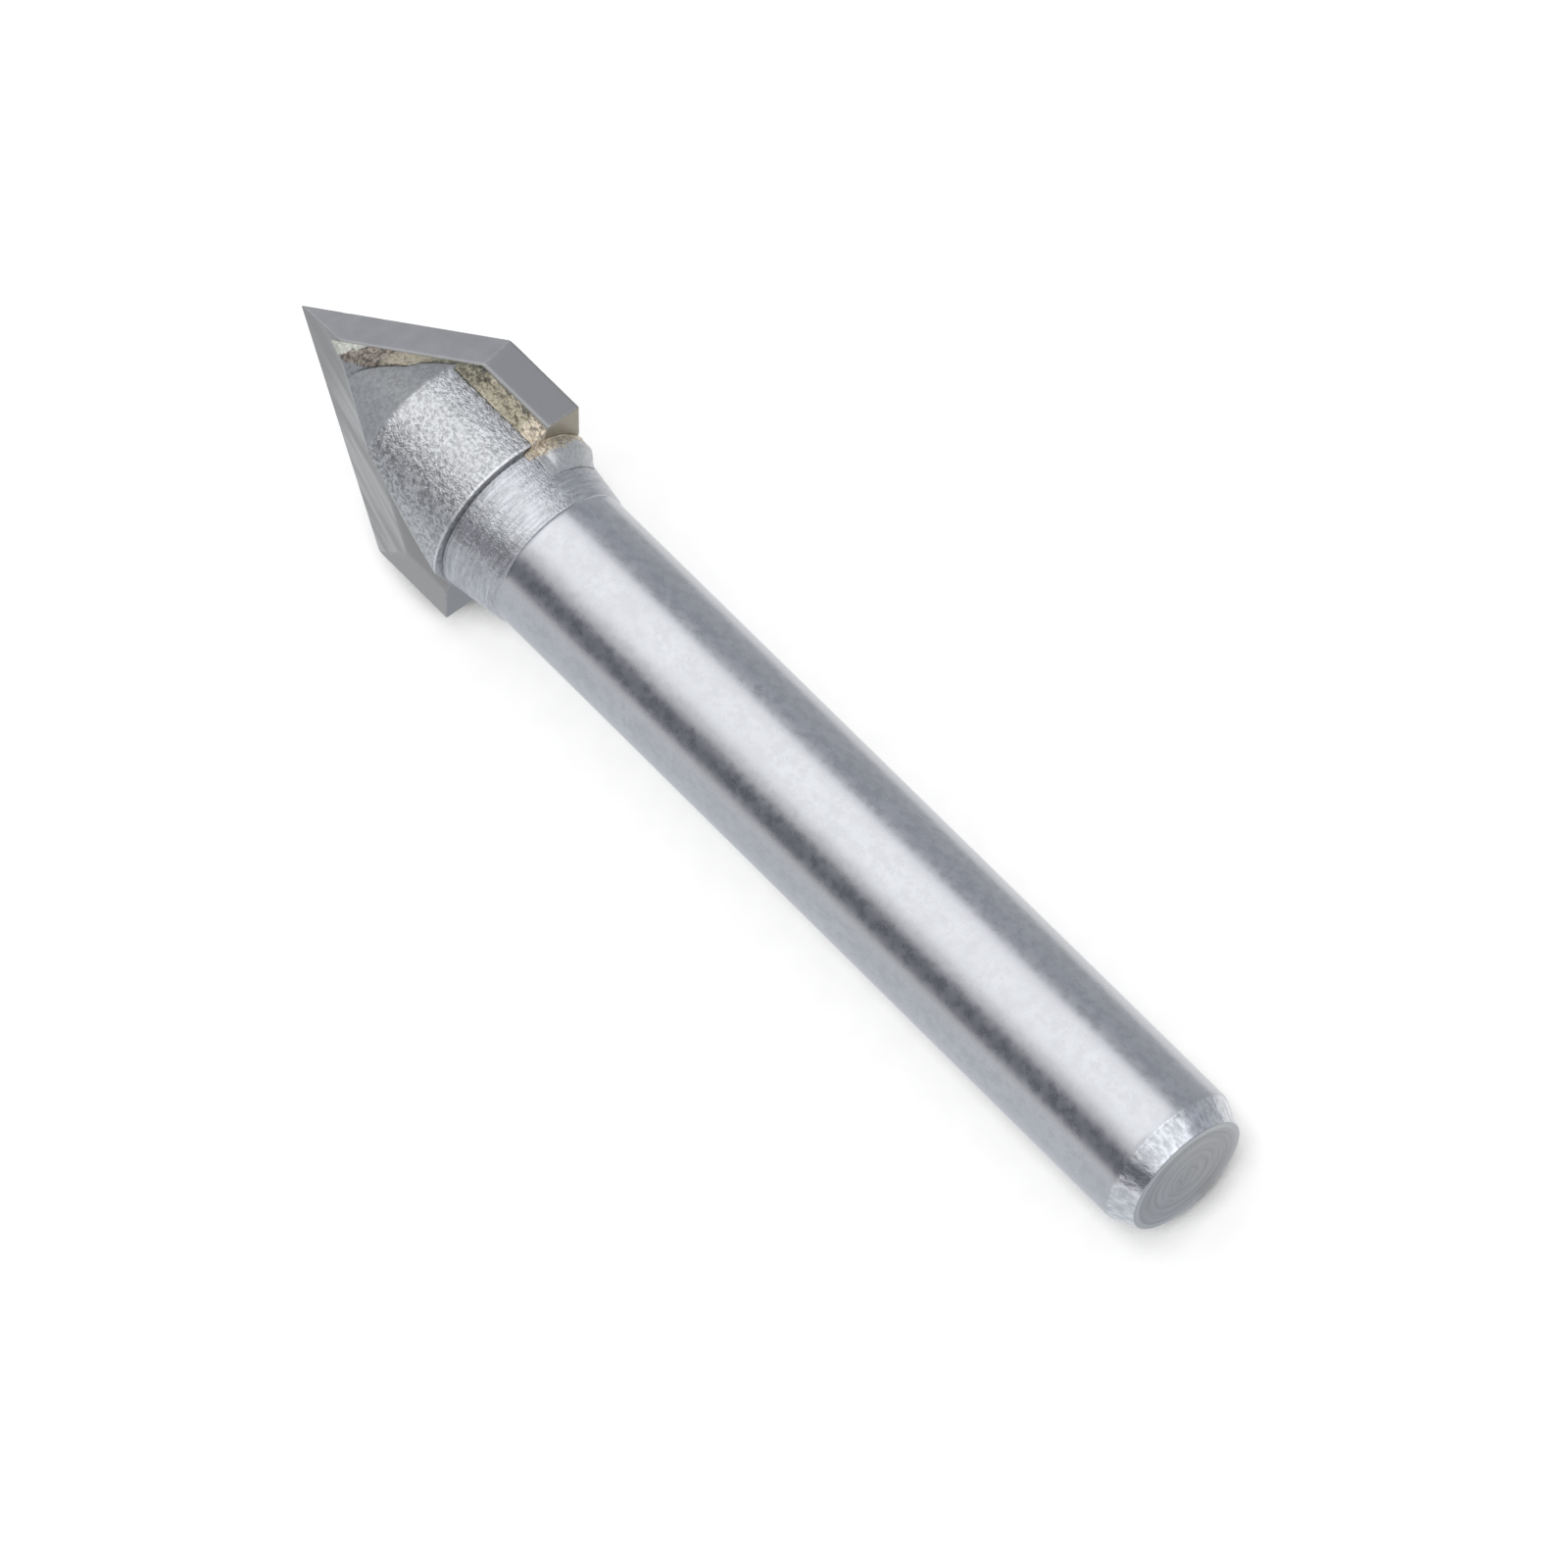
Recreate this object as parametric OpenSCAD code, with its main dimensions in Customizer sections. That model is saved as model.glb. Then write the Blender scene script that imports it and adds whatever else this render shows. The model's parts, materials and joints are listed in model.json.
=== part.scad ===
// Brazed chamfer end mill: a turned steel body, a pointed carbide blade set in a slot across its head,
// and the braze along the two seams. It lies at rest on its round head and its shank.
// Each piece is drawn about the tool's own axis: the point at z = 0, the blade's width along x,
// its thickness along y, the shank towards +z. at_rest() then lays the tool down.

/* [Tool] */
// Length from the point to the end of the shank
overall_length = 49; // [40:0.5:80]
// Diameter across the two wings of the blade
cutting_diameter = 10.2; // [9.6:0.1:11]
// Turn about the axis, as the tool lies, past the roll where a wing would touch the ground
rest_turn = 10.5; // [4:0.5:20]

/* [Shank] */
// Diameter of the ground shank
shank_diameter = 6; // [5:0.05:6.35]
// Length of the turned chamfer on the shank's end
end_chamfer_length = 1; // [0.4:0.1:2]
// Angle of that chamfer to the axis
end_chamfer_angle = 23; // [10:1:45]

/* [Neck] */
// Length of the tapered neck behind the head
neck_length = 2.6; // [1.5:0.1:5]
// How far the neck stands proud of the shank, on the radius
neck_step = 0.08; // [0.02:0.01:0.3]
// Widening of the neck towards the head, on the radius
neck_flare = 0.37; // [0.1:0.01:0.4]

/* [Head] */
// Diameter of the round head that holds the blade
head_diameter = 7.5; // [7.3:0.05:8]
// Width of the shelf left on the blade's flat for the braze, where the nose meets the head's round
seam_shelf = 0.12; // [0.06:0.02:0.4]

/* [Blade] */
// Length of the blade's point, along the axis
point_length = 8.2; // [7.8:0.1:9]
// Length of the straight edges behind the point
land_length = 3.85; // [3:0.05:4.5]
// Thickness of the carbide
blade_thickness = 2.4; // [1.8:0.1:2.6]
// Angle of the relief ground behind each edge, to the blade's flat
relief_angle = 55; // [50:1:65]
// Angle of the face ground in front of each slanting edge, to the blade's flat
point_face_angle = 30; // [20:1:38]
// Angle of the face ground in front of each straight edge, to the blade's flat
land_face_angle = 40; // [32:1:50]

/* [Gash] */
// Where the wall of the gash crosses the tool's cross plane at the point
gash_offset = 0.9; // [0.6:0.05:1.2]
// Angle of the gash wall to the axis, seen on the blade's flat
gash_angle = 21.5; // [21:0.5:25]
// Lean of the gash wall over the blade
gash_lean = 23; // [10:1:30]

/* [Braze] */
// How far the braze stays inside the ground relief
braze_setback = 0.04; // [0.02:0.01:0.08]
// Slope of the braze fillet beside the straight edge, to the blade's flat
braze_angle = 25; // [10:1:35]
// Height of the braze fillet above the blade's flat
braze_height = 0.55; // [0.3:0.05:0.8]
// Length of the braze that ran on to the neck
runout_length = 1.3; // [0.6:0.1:1.6]
// Thickness of that braze over the neck
runout_thickness = 0.35; // [0.2:0.05:0.45]
// Angle round the neck that it covers
runout_sweep = 50; // [20:1:60]

/* [Hidden] */
$fn = 96;

shank_radius = shank_diameter / 2;
cutting_radius = cutting_diameter / 2;
head_radius = head_diameter / 2;
blade_half = blade_thickness / 2;

point_angle = atan(cutting_radius / point_length);

// The relief's lower edge lies this far inside the edge it is ground behind
slant_inset = blade_half / (tan(relief_angle) * cos(point_angle));
straight_inset = blade_half / tan(relief_angle);

// The nose is turned parallel to the blade's slanting edges and leaves them the shelf for the braze
head_end = point_length + land_length;
head_chord = sqrt(head_radius ^ 2 - blade_half ^ 2);
nose_end = (head_chord + seam_shelf + slant_inset) / tan(point_angle);
nose_start = nose_end - head_radius / tan(point_angle);
neck_end = head_end + neck_length;
neck_radius = shank_radius + neck_step;
neck_root_radius = neck_radius + neck_flare;
chamfer_start = overall_length - end_chamfer_length;
end_face_radius = shank_radius - end_chamfer_length * tan(end_chamfer_angle);

// Reach of a cutting block, past every side of the tool
reach = overall_length;
// Overlap that keeps a cut clear of the face it opens
sink = 0.5;

// The tool rests on the head's round and on its shank, with the lower corner of one wing just off the ground
relief_foot = [cutting_radius - straight_inset, blade_half];
touching_roll = atan2(relief_foot.y, relief_foot.x) + acos(min(1, head_radius / norm(relief_foot)));
rest_roll = touching_roll + rest_turn;
rest_pitch = atan((head_radius - shank_radius) / (chamfer_start - head_end));
rest_height = head_end * sin(rest_pitch) + head_radius * cos(rest_pitch);
rest_length = overall_length * cos(rest_pitch) + end_face_radius * sin(rest_pitch);

// Lays the tool along X on the ground plane, the shank towards +X and the middle of its length at the origin
module at_rest() {
    translate([-rest_length / 2, 0, rest_height])
        rotate([0, 90 + rest_pitch, 0])
            rotate([0, 0, 180 - rest_roll])
                children();
}

// The same thing on both sides of the axis, half a turn apart
module both_sides() {
    children();
    rotate([0, 0, 180]) children();
}

// Everything past a plane through the z axis that leans back over the blade by the given angle
module past_plane(angle) {
    rotate([0, 0, 90 - angle])
        translate([0, -reach, -reach])
            cube([reach, 2 * reach, 2 * reach]);
}

// Everything outside the slanting edge of the +x wing
module outside_slant(angle) {
    rotate([0, point_angle, 0]) past_plane(angle);
}

// Everything outside the straight edge of the +x wing
module outside_straight(angle) {
    translate([cutting_radius, 0, 0]) past_plane(angle);
}

// Everything on the +y side of the blade's middle plane, between two heights on the axis
module upper_side(bottom, from, to) {
    translate([-reach, bottom, from])
        cube([2 * reach, reach, to - from]);
}

// The turned blank of the body: nose cone, head, neck, shank and end chamfer
module turned_blank() {
    rotate_extrude()
        polygon([
            [0, nose_start],
            [head_radius, nose_end],
            [head_radius, head_end],
            [neck_root_radius, head_end],
            [neck_radius, neck_end],
            [shank_radius, neck_end],
            [shank_radius, chamfer_start],
            [end_face_radius, overall_length],
            [0, overall_length]
        ]);
}

// The slot across the head that the blade is brazed into
module blade_slot() {
    translate([-reach, -blade_half, -sink])
        cube([2 * reach, blade_thickness, head_end + sink]);
}

// The gash that clears the steel in front of the -x edge
module gash() {
    intersection() {
        translate([gash_offset, 0, 0])
            rotate([0, -gash_angle, 0])
                rotate([0, 0, -gash_lean])
                    translate([-reach, -reach, -reach])
                        cube([reach, 2 * reach, 2 * reach]);
        upper_side(0, -sink, head_end);
    }
}

module steel_in_tool_frame() {
    difference() {
        turned_blank();
        blade_slot();
        both_sides() gash();
    }
}

// The pointed outline of the blade, with the point at the origin
module blade_outline() {
    polygon([
        [0, 0],
        [cutting_radius, point_length],
        [cutting_radius, head_end],
        [-cutting_radius, head_end],
        [-cutting_radius, point_length]
    ]);
}

// The blade, ground on both sides of each wing: relief behind the edge, a steeper face in front of it
module blade_in_tool_frame() {
    difference() {
        rotate([90, 0, 0])
            linear_extrude(height = blade_thickness, center = true)
                blade_outline();
        both_sides() {
            outside_slant(relief_angle);
            outside_straight(relief_angle);
            mirror([1, 0, 0]) outside_slant(point_face_angle);
            mirror([1, 0, 0]) outside_straight(land_face_angle);
        }
    }
}

// The fillet of braze between the blade's flat and the head, behind the +x edge and cut back by the gash
module braze_fillet(past_head = 0) {
    difference() {
        translate([0, blade_half, 0])
            cube([cutting_radius, braze_height, head_end + past_head]);
        translate([-braze_setback, 0, 0]) outside_slant(relief_angle);
        translate([relief_foot.x - braze_setback, blade_half, 0]) past_plane(braze_angle);
        turned_blank();
        gash();
    }
}

// Braze that ran past the blade's back edge and set on the neck
module braze_runout() {
    rotate([0, 0, -runout_sweep / 2])
        rotate_extrude(angle = runout_sweep)
            polygon([
                [neck_root_radius, head_end],
                [neck_root_radius + runout_thickness, head_end],
                [neck_root_radius + runout_thickness, head_end + runout_length / 2],
                [neck_root_radius - neck_flare * runout_length / neck_length, head_end + runout_length]
            ]);
}

module steel_body() {
    color([0.72, 0.73, 0.75]) at_rest() steel_in_tool_frame();
}

module carbide_blade() {
    color([0.55, 0.56, 0.58]) at_rest() blade_in_tool_frame();
}

module braze_seam_near() {
    color([0.68, 0.60, 0.42]) at_rest() {
        braze_fillet(past_head = runout_length / 4);
        braze_runout();
    }
}

module braze_seam_far() {
    color([0.68, 0.60, 0.42]) at_rest()
        rotate([0, 0, 180]) braze_fillet();
}

steel_body();
carbide_blade();
braze_seam_near();
braze_seam_far();
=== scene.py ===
"""Looks of a brazed chamfer end mill: turned and blasted steel body, ground carbide blade and rough braze.

Every piece is shaped about the tool's own axes, in millimetres: the point at the origin, the blade's width
along x, its thickness along y, the shank towards +z. It is then carried into the row frame, in metres.
"""
import json
import math
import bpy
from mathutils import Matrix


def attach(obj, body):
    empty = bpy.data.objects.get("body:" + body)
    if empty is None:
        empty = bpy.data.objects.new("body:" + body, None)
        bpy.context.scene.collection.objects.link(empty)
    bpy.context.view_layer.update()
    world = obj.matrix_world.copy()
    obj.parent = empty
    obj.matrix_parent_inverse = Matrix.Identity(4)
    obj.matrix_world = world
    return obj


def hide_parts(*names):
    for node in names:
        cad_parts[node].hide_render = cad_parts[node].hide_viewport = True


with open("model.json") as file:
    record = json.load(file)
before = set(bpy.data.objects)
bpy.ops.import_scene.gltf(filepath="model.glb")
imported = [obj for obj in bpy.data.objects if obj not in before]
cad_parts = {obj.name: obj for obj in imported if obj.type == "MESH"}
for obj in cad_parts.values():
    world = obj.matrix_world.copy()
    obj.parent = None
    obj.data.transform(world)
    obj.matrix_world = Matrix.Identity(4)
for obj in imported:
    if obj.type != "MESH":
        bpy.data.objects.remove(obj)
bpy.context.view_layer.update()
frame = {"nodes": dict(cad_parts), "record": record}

from types import SimpleNamespace

import bmesh
import bpy
import numpy as np
from bpy.props import FloatProperty, FloatVectorProperty, IntProperty, PointerProperty
from mathutils import Matrix, Vector, noise

bl_info = {
    "name": "Chamfer end mill",
    "version": (1, 0, 0),
    "blender": (4, 5, 0),
    "location": "3D View > Sidebar > End mill",
    "description": "Builds the detailed pieces, finishes and stage of a brazed chamfer end mill",
    "category": "Object",
}

MM = 0.001
# Edges sharper than this many degrees stay sharp in the shading
SHARP_FROM = 50
# Steps round the turned body, and spacing of the fine meshes of the blade and the braze, in mm
TURN_STEPS = 240
BLADE_VOXEL = 0.058
BRAZE_VOXEL = 0.035


# The tool's own axes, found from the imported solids

def tool_placement():
    """Matrix from the tool's axes, in millimetres, to the row frame, and the tool's length in millimetres."""
    mounts = {mount["name"]: mount for mount in frame["record"]["mounts"]}
    axis = Vector(mounts["shank_end"]["axis"]).normalized()
    end = Vector(mounts["shank_end"]["pos_m"])
    corners = [vertex.co - end for vertex in frame["nodes"]["carbide_blade"].data.vertices]
    length = -min(corner.dot(axis) for corner in corners)
    arms = [corner - axis * corner.dot(axis) for corner in corners]
    widest = max(arm.length for arm in arms)
    width = max((arm for arm in arms if arm.length > 0.999 * widest), key=lambda arm: arm.z).normalized()
    thickness = axis.cross(width)
    place = Matrix.Translation(end - axis * length) @ Matrix((width, thickness, axis)).transposed().to_4x4()
    return place @ Matrix.Scale(MM, 4), length / MM


PLACE, TOOL_LENGTH = tool_placement()
# The tool's directions in the row frame
AXES = PLACE.to_3x3().normalized()


# Sizes, looks and view, which a user may change

def length_property(name, description, value):
    """A length in millimetres."""
    return FloatProperty(name=name, description=f"{description}, in mm", default=value)


def angle_property(name, description, degrees):
    return FloatProperty(name=name, description=description, subtype="ANGLE", default=math.radians(degrees))


def colour_property(name, description, value):
    return FloatVectorProperty(name=name, description=description, subtype="COLOR", default=value)


class EndMillSizes(bpy.types.PropertyGroup):
    """Sizes of the turned, ground and brazed forms: lengths in millimetres, and angles."""

    head_radius: length_property("Head radius", "Radius of the round head", 3.75)
    head_end: length_property("Head end", "From the point to the back of the head", 12.05)
    neck_end: length_property("Neck end", "From the point to the start of the shank", 14.65)
    neck_root_radius: length_property("Neck root radius", "Radius of the neck against the head", 3.45)
    neck_radius: length_property("Neck radius", "Radius of the neck at the shank", 3.08)
    shank_radius: length_property("Shank radius", "Radius of the ground shank", 3.0)
    end_chamfer: length_property("End chamfer", "Length of the chamfer on the shank's end", 1.0)
    end_face_radius: length_property("End face radius", "Radius of the faced end of the shank", 2.576)
    point_length: length_property("Point length", "Length of the blade's point along the axis", 8.2)
    cutting_radius: length_property("Cutting radius", "Half the width across the blade's wings", 5.1)
    blade_half: length_property("Half blade", "Half the thickness of the carbide", 1.2)
    relief_angle: angle_property("Relief angle", "Relief behind the edges, from the blade's flat", 55.0)
    point_face_angle: angle_property("Point face angle", "Face in front of the slanting edges", 30.0)
    land_face_angle: angle_property("Land face angle", "Face in front of the straight edges", 40.0)
    seam_shelf: length_property("Seam shelf", "Shelf for the braze beside the head", 0.12)
    gash_offset: length_property("Gash offset", "From the point to the gash wall, across the axis", 0.9)
    gash_angle: angle_property("Gash angle", "Angle of the gash wall to the axis", 21.5)
    gash_lean: angle_property("Gash lean", "Lean of the gash wall over the blade", 23.0)


class EndMillLooks(bpy.types.PropertyGroup):
    """Depths and colours of the surface finishes, some of the colours darkened partly as painted shade."""

    blast_depth: length_property("Blast depth", "Depth of the pits that the grit left", 0.038)
    edge_wear: length_property("Edge wear", "Radius of the worn outer edges", 0.04)
    braze_lumps: length_property("Braze lumps", "Height of the lumps in the set braze", 0.16)
    steel_colour: colour_property("Steel", "Colour of the ground steel", (0.50, 0.51, 0.535))
    blasted_colour: colour_property("Blasted steel", "Colour of the blasted head", (0.52, 0.53, 0.545))
    # The nose's colour is darker partly as painted shade, for the darker surroundings it mirrors, and partly
    # as its smoother ground finish
    nose_colour: colour_property("Nose", "Colour of the ground nose", (0.315, 0.325, 0.34))
    # The shank end's colour is darker partly as painted shade, for the shadowed floor it mirrors, and partly
    # as its turned finish
    end_colour: colour_property("Shank end", "Colour of the shank's faced end", (0.29, 0.30, 0.315))
    carbide_colour: colour_property("Carbide", "Colour of the carbide", (0.35, 0.355, 0.375))
    ground_colour: colour_property("Ground carbide", "Colour of the freshly ground faces", (0.43, 0.43, 0.43))
    braze_gold_colour: colour_property("Braze", "Colour of the clean braze", (0.46, 0.42, 0.33))
    braze_olive_colour: colour_property(
        "Dull braze", "Colour of the dull braze in the corner", (0.21, 0.20, 0.155))
    braze_brown_colour: colour_property("Burnt braze", "Colour of the oxidised braze", (0.24, 0.21, 0.18))
    flux_colour: colour_property("Flux", "Colour of the pale flux that is left", (0.62, 0.63, 0.58))


class EndMillView(bpy.types.PropertyGroup):
    """Where the camera stands, as read from the photograph."""

    distance: length_property("Distance", "From the camera to the tool", 503.67)
    lift: angle_property("Axis lift", "How far the shank's end points towards the camera", 22.31)
    bearing: angle_property("Axis bearing", "Direction of the axis in the image", -44.52)
    blade_turn: angle_property("Blade turn", "Turn of the blade about the axis", 28.61)
    reference_height: length_property("Reference", "Height on the axis of the reference point", 25.0)
    reference_column: FloatProperty(
        name="Reference column", description="Pixel column of the reference point", subtype="PIXEL",
        default=760.08)
    reference_row: FloatProperty(
        name="Reference row", description="Pixel row of the reference point", subtype="PIXEL", default=756.54)
    image_side: IntProperty(
        name="Image side", description="Side of the square image", subtype="PIXEL", default=1600)
    pixels_per_mm: FloatProperty(
        name="Scale", description="Pixels for each millimetre at the reference point", default=28.048)


def sizes():
    return bpy.context.scene.end_mill_sizes


def looks():
    return bpy.context.scene.end_mill_looks


# Distances from the real surfaces, negative inside the solid

def rounded_max(values, radius):
    """The largest of several distances, with the edges where they meet rounded off."""
    result = values[0]
    for value in values[1:]:
        near = np.clip(radius - np.abs(result - value), 0, None)
        result = np.maximum(result, value) + near * near / (4 * radius)
    return result


def plane(points, normal, through):
    """Distance in front of a plane."""
    return (points - np.array(through)) @ np.array(normal)


def half_turned(points):
    """The points turned half round the axis."""
    return points * np.array([-1, -1, 1])


def point_angle():
    """Angle of the blade's slanting edges to the axis."""
    return math.atan(sizes().cutting_radius / sizes().point_length)


def edge_normal(angle, slanting):
    """Outward normal of a face ground at the given angle to the blade's flat, on the +x wing."""
    out, up = math.sin(angle), math.cos(angle)
    lean = point_angle() if slanting else 0.0
    return out * math.cos(lean), up, -out * math.sin(lean)


def mirrored(vector):
    """The vector seen from the other wing."""
    return -vector[0], vector[1], vector[2]


def blade_planes(points):
    """Distances in front of each face of the blade."""
    size = sizes()
    point, corner = (0, 0, 0), (size.cutting_radius, 0, 0)
    faces = [np.abs(points[:, 1]) - size.blade_half, points[:, 2] - size.head_end]
    for turned in (points, half_turned(points)):
        faces.append(plane(turned, edge_normal(size.relief_angle, True), point))
        faces.append(plane(turned, edge_normal(size.relief_angle, False), corner))
        faces.append(plane(turned, mirrored(edge_normal(size.point_face_angle, True)), point))
        faces.append(plane(turned, mirrored(edge_normal(size.land_face_angle, False)), mirrored(corner)))
    return faces


def slant_inset():
    """How far inside the slanting edge its relief meets the blade's flat, across the axis."""
    size = sizes()
    return size.blade_half / (math.tan(size.relief_angle) * math.cos(point_angle()))


def nose_end():
    """Height at which the nose cone meets the head's round."""
    size = sizes()
    chord = math.sqrt(size.head_radius ** 2 - size.blade_half ** 2)
    return (chord + size.seam_shelf + slant_inset()) / math.tan(point_angle())


def neck_slope():
    """How much the neck's radius grows for each millimetre towards the head."""
    size = sizes()
    return (size.neck_root_radius - size.neck_radius) / (size.neck_end - size.head_end)


def chamfer_start():
    """Height at which the shank's end chamfer starts."""
    return TOOL_LENGTH - sizes().end_chamfer


def blank_distance(points):
    """Distance outside the turned nose, head and neck."""
    size = sizes()
    x, y, height = points.T
    radius, angle, slope = np.hypot(x, y), point_angle(), neck_slope()
    nose = (radius - size.head_radius) * math.cos(angle) - (height - nose_end()) * math.sin(angle)
    head = np.maximum(np.maximum(nose, radius - size.head_radius), height - size.head_end)
    flare = (radius - size.neck_radius + (height - size.neck_end) * slope) / math.hypot(1, slope)
    return np.minimum(head, flare)


def gash_normal():
    """Direction from the gash wall into the steel."""
    lean, angle = sizes().gash_lean, sizes().gash_angle
    return math.cos(lean) * math.cos(angle), -math.sin(lean), math.cos(lean) * math.sin(angle)


# Mesh work

def new_object(name, data):
    """A new object in the scene."""
    obj = bpy.data.objects.new(name, data)
    bpy.context.scene.collection.objects.link(obj)
    return obj


def object_from(solid, name):
    """A new object in the scene with the solid's form."""
    mesh = bpy.data.meshes.new(name)
    solid.to_mesh(mesh)
    solid.free()
    return new_object(name, mesh)


def solid_in_tool_axes(node):
    """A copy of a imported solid's mesh, welded, in the tool's axes."""
    solid = bmesh.new()
    solid.from_mesh(frame["nodes"][node].data)
    solid.transform(PLACE.inverted())
    bmesh.ops.remove_doubles(solid, verts=solid.verts, dist=1e-4)
    return solid


def block(low, high):
    """A solid box between two corners."""
    solid = bmesh.new()
    bmesh.ops.create_cube(solid, size=1.0)
    middle = (Vector(low) + Vector(high)) / 2
    sides = Vector(high) - Vector(low)
    for vertex in solid.verts:
        vertex.co = middle + Vector([share * side for share, side in zip(vertex.co, sides)])
    return solid


def halved(solid, through, normal):
    """Keeps what lies behind a plane and closes the cut."""
    geometry = solid.verts[:] + solid.edges[:] + solid.faces[:]
    cut = bmesh.ops.bisect_plane(solid, geom=geometry, plane_co=through, plane_no=normal, clear_outer=True)
    rim = [item for item in cut["geom_cut"] if isinstance(item, bmesh.types.BMEdge)]
    bmesh.ops.edgeloop_fill(solid, edges=rim)


def apply_modifiers(obj):
    """Makes the modifiers' result the object's own mesh."""
    evaluated = obj.evaluated_get(bpy.context.evaluated_depsgraph_get())
    mesh = bpy.data.meshes.new_from_object(evaluated)
    obj.modifiers.clear()
    obj.data = mesh


def cut_away(piece, solid):
    """Takes a solid out of a piece."""
    cutter = object_from(solid, "cutter")
    carve = piece.modifiers.new("carve", "BOOLEAN")
    carve.operation = "DIFFERENCE"
    carve.solver = "MANIFOLD"
    carve.object = cutter
    apply_modifiers(piece)
    bpy.data.objects.remove(cutter)


def finely_meshed(solid, name, voxel):
    """An object with the solid's form in small even faces."""
    obj = object_from(solid, name)
    remesh = obj.modifiers.new("fine", "REMESH")
    remesh.mode = "VOXEL"
    remesh.voxel_size = voxel
    remesh.use_smooth_shade = True
    apply_modifiers(obj)
    return obj


def vertex_vectors(mesh, kind):
    """The vertices' places, for the kind co, or directions, for the kind normal, a row for each."""
    vectors = np.empty(len(mesh.vertices) * 3)
    mesh.vertices.foreach_get(kind, vectors)
    return vectors.reshape(-1, 3)


def set_vertex_places(mesh, places):
    mesh.vertices.foreach_set("co", np.asarray(places, np.float32).ravel())
    mesh.update()


def slope_of(distance, points, step=2e-3):
    """How a distance grows along each axis."""
    columns = []
    for axis in np.eye(3) * step:
        columns.append((distance(points + axis) - distance(points - axis)) / (2 * step))
    return np.stack(columns, axis=1)


def settled(points, distance, rounds=5):
    """The points moved on to the surface where the distance is zero."""
    for _ in range(rounds):
        slope = slope_of(distance, points)
        steepness = np.maximum((slope ** 2).sum(axis=1), 0.05)
        points = points - slope * (distance(points) / steepness)[:, None]
    return points


def outward(distance, points):
    """The direction in which the distance grows most."""
    slope = slope_of(distance, points)
    return slope / np.maximum(np.linalg.norm(slope, axis=1), 1e-6)[:, None]


def smoothstep(low, high, value):
    share = np.clip((value - low) / (high - low), 0, 1)
    return share * share * (3 - 2 * share)


def shifted(points, size, seed):
    """The points in lengths of the given size, carried to another part of a noise for each seed."""
    shift = Vector((seed, 1.7 * seed, 2.3 * seed))
    return [Vector(point) + shift for point in points / size]


def wavy(points, size, octaves=3, seed=0.0):
    """Smooth noise from about -1 to 1, with lumps of the given size."""
    return np.array([noise.fractal(point, 0.8, 2.0, octaves) for point in shifted(points, size, seed)])


def pits(points, size, seed=0.0):
    """How deep each point lies in a field of pits, from 0 on the rims to 1 at the bottoms."""
    near = np.array([noise.voronoi(point)[0][0] for point in shifted(points, size, seed)])
    return 1 - smoothstep(0.0, 0.75, near)


def ripple(distance, length, line):
    """Smooth noise from -1 to 1 along a line, with waves of the given length."""
    return noise.noise(Vector((distance / length, line, 0.0)))


def store(mesh, name, values):
    """A value for each vertex, for the finishes to read."""
    layer = mesh.attributes.new(name, "FLOAT", "POINT")
    layer.data.foreach_set("value", np.asarray(values, np.float32))


def set_in_place(obj, material, node):
    """Carries a piece into the row frame, gives it its finish and puts it in place of its solid.

    Each vertex keeps its place in the tool's axes, for the finish to read.
    """
    places = vertex_vectors(obj.data, "co").astype(np.float32)
    layer = obj.data.attributes.new("tool", "FLOAT_VECTOR", "POINT")
    layer.data.foreach_set("vector", places.ravel())
    obj.data.transform(PLACE)
    obj.data.update()
    obj.data.materials.clear()
    obj.data.materials.append(material)
    obj.data.shade_smooth()
    obj.data.set_sharp_from_angle(angle=math.radians(SHARP_FROM))
    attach(obj, "root")
    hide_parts(node)


# The steel body

def rows(start, end, step):
    """Rings of the profile from one place towards another, without the last."""
    count = max(1, round(math.dist(start, end) / step))
    first, way = Vector(start), Vector(end) - Vector(start)
    return [tuple(first + way * index / count) for index in range(count)]


def quarter_round(centre, radius, count):
    """Rings of a rounded outer corner of the profile."""
    turns = np.linspace(0, math.pi / 2, count)
    return [(centre[0] + radius * math.cos(turn), centre[1] + radius * math.sin(turn)) for turn in turns]


def head_profile():
    """Radius and height of each ring of the nose, head and neck."""
    size = sizes()
    rim, root, tip, spacing = looks().edge_wear, 0.02, 0.05, 0.095
    scratch_depth, scratch_width = 0.012, 0.13
    head, top = size.head_radius, nose_end()
    rings = rows((tip, top - (head - tip) / math.tan(point_angle())), (head, top), spacing)
    rings += rows((head, top), (head, size.head_end - rim), spacing)
    rings += quarter_round((head - rim, size.head_end - rim), rim, 4)
    shoulder = (head - 2 * rim, size.head_end)
    rings += rows(shoulder, (size.neck_root_radius + root, size.head_end), spacing)
    neck = rows((size.neck_root_radius, size.head_end + root), (size.neck_radius, size.neck_end), spacing)
    for radius, height in neck:
        scratch = max(0.0, ripple(height, scratch_width, 4.0))
        rings.append((radius - scratch_depth * scratch, height))
    rings.append((size.neck_radius - scratch_depth, size.neck_end - scratch_depth / 2))
    return rings


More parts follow.
